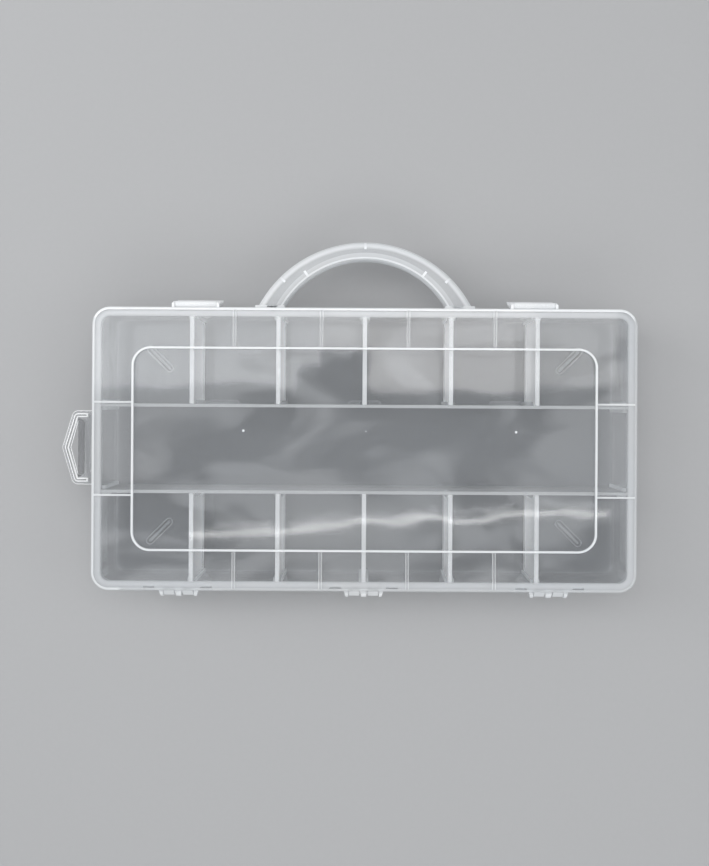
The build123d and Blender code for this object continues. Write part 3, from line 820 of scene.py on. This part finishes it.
sink = handleValues["wall"] * handleValues["ribSink"]
ribBottom, ribTop = handleLow[2] + handleValues["ribDrop"], handleHigh[2] - sink
halfRib, halfReach = handleValues["ribWidth"] / 2, handleValues["ribReach"] / 2
ribBox = ((-halfRib, -halfReach, ribBottom), (halfRib, halfReach, ribTop))
bar = boxes("ribPattern", [ribBox], handleValues["ribRound"])
ribs = ribTree()
for pieceName, counts, radius, centre in (
    ("handleOuterRibs", "outerRibs", handleValues["outerRadius"] - sink - halfReach, "outerCentre"),
    ("handleInnerRibs", "innerRibs", handleValues["innerRadius"] + sink + halfReach, "innerCentre"),
):
    turns = handleValues[counts]
    piece = grown(pieceName, ribs, {
        "Bar": bar, "Count": len(turns), "Step": radians(turns[1] - turns[0]), "Radius": radius,
        "Centre X": middleX, "Centre Y": middleY + handleValues[centre],
    })
    dress(piece, "rib", "handle_plastic", handleBody)
bpy.data.objects.remove(bar)

footLow, footHigh = handleLow[2], handleHigh[2]
rootY = middleY + handleValues["root"]
footOuter = handleHigh[0] - middleX
outerTurn = halfTurn(handleValues["outerRadius"], handleValues["outerCentre"])
innerTurn = halfTurn(handleValues["innerRadius"], handleValues["innerCentre"])
outerFoot = handleValues["outerRadius"] * sin(outerTurn)
innerFoot = handleValues["innerRadius"] * sin(innerTurn)
flare = footOuter - outerFoot
footX = (outerFoot + innerFoot) / 2
plugX, plugY, plugZ = handleValues["plugSize"]
plates, plugs = [], []
for side in (-1, 1):
    edges = sorted((middleX + side * (innerFoot - flare), middleX + side * outerFoot))
    plates.append(((edges[0], rootY - handleValues["footPlate"], footLow), (edges[1], rootY, footHigh)))
    centreX, centreZ = middleX + side * footX, (footLow + footHigh) / 2
    plugs.append(((centreX - plugX / 2, rootY + handleValues["plugDepth"] - plugY, centreZ - plugZ / 2),
                  (centreX + plugX / 2, rootY + handleValues["plugDepth"], centreZ + plugZ / 2)))
footPlates = boxes("handleFootPlates", plates, handleValues["footRound"])
dress(footPlates, "rib", "handle_plastic", handleBody)
dress(boxes("handlePlugs", plugs, handleValues["plugRound"]), "rib", "handle_plastic", handleBody)
print("stage: handle, section points", len(section))

stageLook = {
    "floorColour": (0.44, 0.44, 0.444, 1.0),
    "floorSize": 30.0,
    "floorRoughness": 0.9,
    "fibreScale": 300.0,
    "fibreDetail": 3.0,
    "fibreShade": 0.97,
    "skyColour": (0.94, 0.97, 1.0, 1.0),
    "skyStrength": 0.45,
    "fillStrength": 0.32,
    "fillAngle": 100.0,  # how wide the even light from above is, in degrees
}
overheadLook = {"height": 1.25, "frontEdge": -0.67, "strength": 6.75}  # strength is energy per square metre
overheadPanels = (  # ends along the lid, place of the edge nearer the middle, share of the strength, colour
    (0.135, 0.61, -0.050, 0.95, (0.98, 0.99, 1.0)),
    (0.085, 0.135, -0.085, 1.0, (0.99, 0.99, 1.0)),
    (-0.005, 0.085, -0.1225, 1.0, (1.0, 0.985, 0.97)),
    (-0.33, -0.005, -0.050, 1.0, (1.0, 0.972, 0.955)),
    (-0.48, -0.33, -0.060, 0.7, (1.0, 0.985, 0.97)),
)
lamps = {  # place from the middle of the lid, size, turn in degrees, energy and colour
    "back": ((0.0, 0.95, 0.95), (1.3, 0.6), (-48.0, 0.0, 0.0), 3.2, (0.98, 0.99, 1.0)),
    "leftSide": ((1.15, -0.40, 0.85), (1.0, 0.8), (-16.0, 55.0, 0.0), 7.5, (0.98, 0.99, 1.0)),
    "rightSide": ((-1.15, 0.05, 0.85), (1.0, 0.8), (3.0, -55.0, 0.0), 3.4, (0.98, 0.99, 1.0)),
    "strip": ((-0.060, 0.190, 1.20), (0.78, 0.010), (0.0, 0.0, 3.0), 0.14, (1.0, 0.99, 0.98)),
}


def makeFloor():
    half = stageLook["floorSize"] / 2
    mesh = bpy.data.meshes.new("floor")
    corners = [(-half, -half, 0), (half, -half, 0), (half, half, 0), (-half, half, 0)]
    mesh.from_pydata(corners, [], [(0, 1, 2, 3)])
    floor = linked("floor", mesh)
    finish = Finish("floorPaper")
    fibre = finish.noise(finish.place(), stageLook["fibreScale"], stageLook["fibreDetail"])
    darker = tuple(c * stageLook["fibreShade"] for c in stageLook["floorColour"][:3]) + (1.0,)
    colour = finish.blend(fibre, stageLook["floorColour"], darker)
    sheet = finish.node("ShaderNodeBsdfPrincipled", None, {
        "Base Color": colour, "Roughness": stageLook["floorRoughness"],
    })
    mesh.materials.append(finish.done(sheet))


def makeSky():
    world = bpy.data.worlds.new("sky")
    bpy.context.scene.world = world
    world.use_nodes = True
    background = world.node_tree.nodes["Background"]
    background.inputs["Color"].default_value = stageLook["skyColour"]
    background.inputs["Strength"].default_value = stageLook["skyStrength"]


def makeFill():  # even light from above, also far from the lamps
    fill = bpy.data.lights.new("fill", "SUN")
    fill.energy = stageLook["fillStrength"]
    fill.angle = radians(stageLook["fillAngle"])
    holder = bpy.data.objects.new("fill", fill)
    holder.location = (middleX, middleY, overheadLook["height"])
    bpy.context.scene.collection.objects.link(holder)


def areaLight(name, place, size, turn, energy, colour):
    lamp = bpy.data.lights.new(name, "AREA")
    lamp.shape = "RECTANGLE"
    lamp.size, lamp.size_y = size
    lamp.energy = energy
    lamp.color = colour
    holder = bpy.data.objects.new(name, lamp)
    holder.location = (middleX + place[0], middleY + place[1], place[2])
    holder.rotation_euler = [radians(angle) for angle in turn]
    bpy.context.scene.collection.objects.link(holder)


makeFloor()
makeSky()
makeFill()
for name, values in lamps.items():
    areaLight(name, *values)
for index, (low, high, nearEdge, share, colour) in enumerate(overheadPanels):
    size = (high - low, nearEdge - overheadLook["frontEdge"])
    place = ((low + high) / 2, nearEdge - size[1] / 2, overheadLook["height"])
    energy = overheadLook["strength"] * share * size[0] * size[1]
    areaLight(f"overhead{index}", place, size, (0.0, 0.0, 0.0), energy, colour)
print("stage: floor and lamps")

cameraLook = {
    "place": (-0.00026, -0.0329, 0.661),  # from the middle of the lid
    "turn": 180.33,
    "lens": 39.08,
    "shift": (-0.0121, -0.0389),
    "sensor": 36.0,
    "clearLayers": 40,  # transparent surfaces that a ray may cross
}
camera = bpy.data.cameras.new("camera")
camera.sensor_fit = "AUTO"
camera.sensor_width = cameraLook["sensor"]
camera.lens = cameraLook["lens"]
camera.shift_x, camera.shift_y = cameraLook["shift"]
cameraObject = bpy.data.objects.new("camera", camera)
cameraX, cameraY, cameraZ = cameraLook["place"]
cameraObject.location = (middleX + cameraX, middleY + cameraY, cameraZ)
cameraObject.rotation_euler = (0.0, 0.0, radians(cameraLook["turn"]))
bpy.context.scene.collection.objects.link(cameraObject)
bpy.context.scene.camera = cameraObject
bpy.context.scene.view_settings.view_transform = "Standard"
bpy.context.scene.cycles.transparent_max_bounces = cameraLook["clearLayers"]
print("stage: camera")
